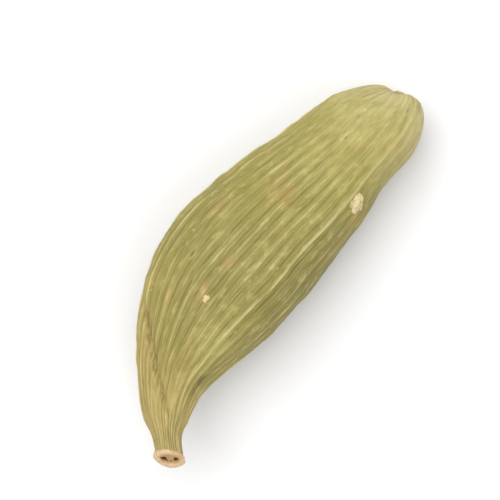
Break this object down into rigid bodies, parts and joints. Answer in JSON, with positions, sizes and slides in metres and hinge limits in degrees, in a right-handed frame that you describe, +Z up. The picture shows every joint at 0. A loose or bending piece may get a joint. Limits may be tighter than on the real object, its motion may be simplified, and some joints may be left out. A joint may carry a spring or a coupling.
{
  "type": "green cardamom pod",
  "caption": "Dried green cardamom pod: a closed, ribbed, three-sided seed capsule, bowed, with a flared stalk ring and a blunt tip, lying on its side.",
  "frame": {"origin": "centre of the pod's box at the surface it lies on", "axes": "+X along the pod from the stalk ring to the blunt tip, +Y to the side it bows towards, +Z up"},
  "size_m": [0.0208, 0.0074, 0.0062],
  "materials": {
    "husk": "dry fibrous olive-green husk with paler straw-coloured ribs"
  },
  "bodies": {
    "root": {"pod": "husk"}
  },
  "joints": []
}
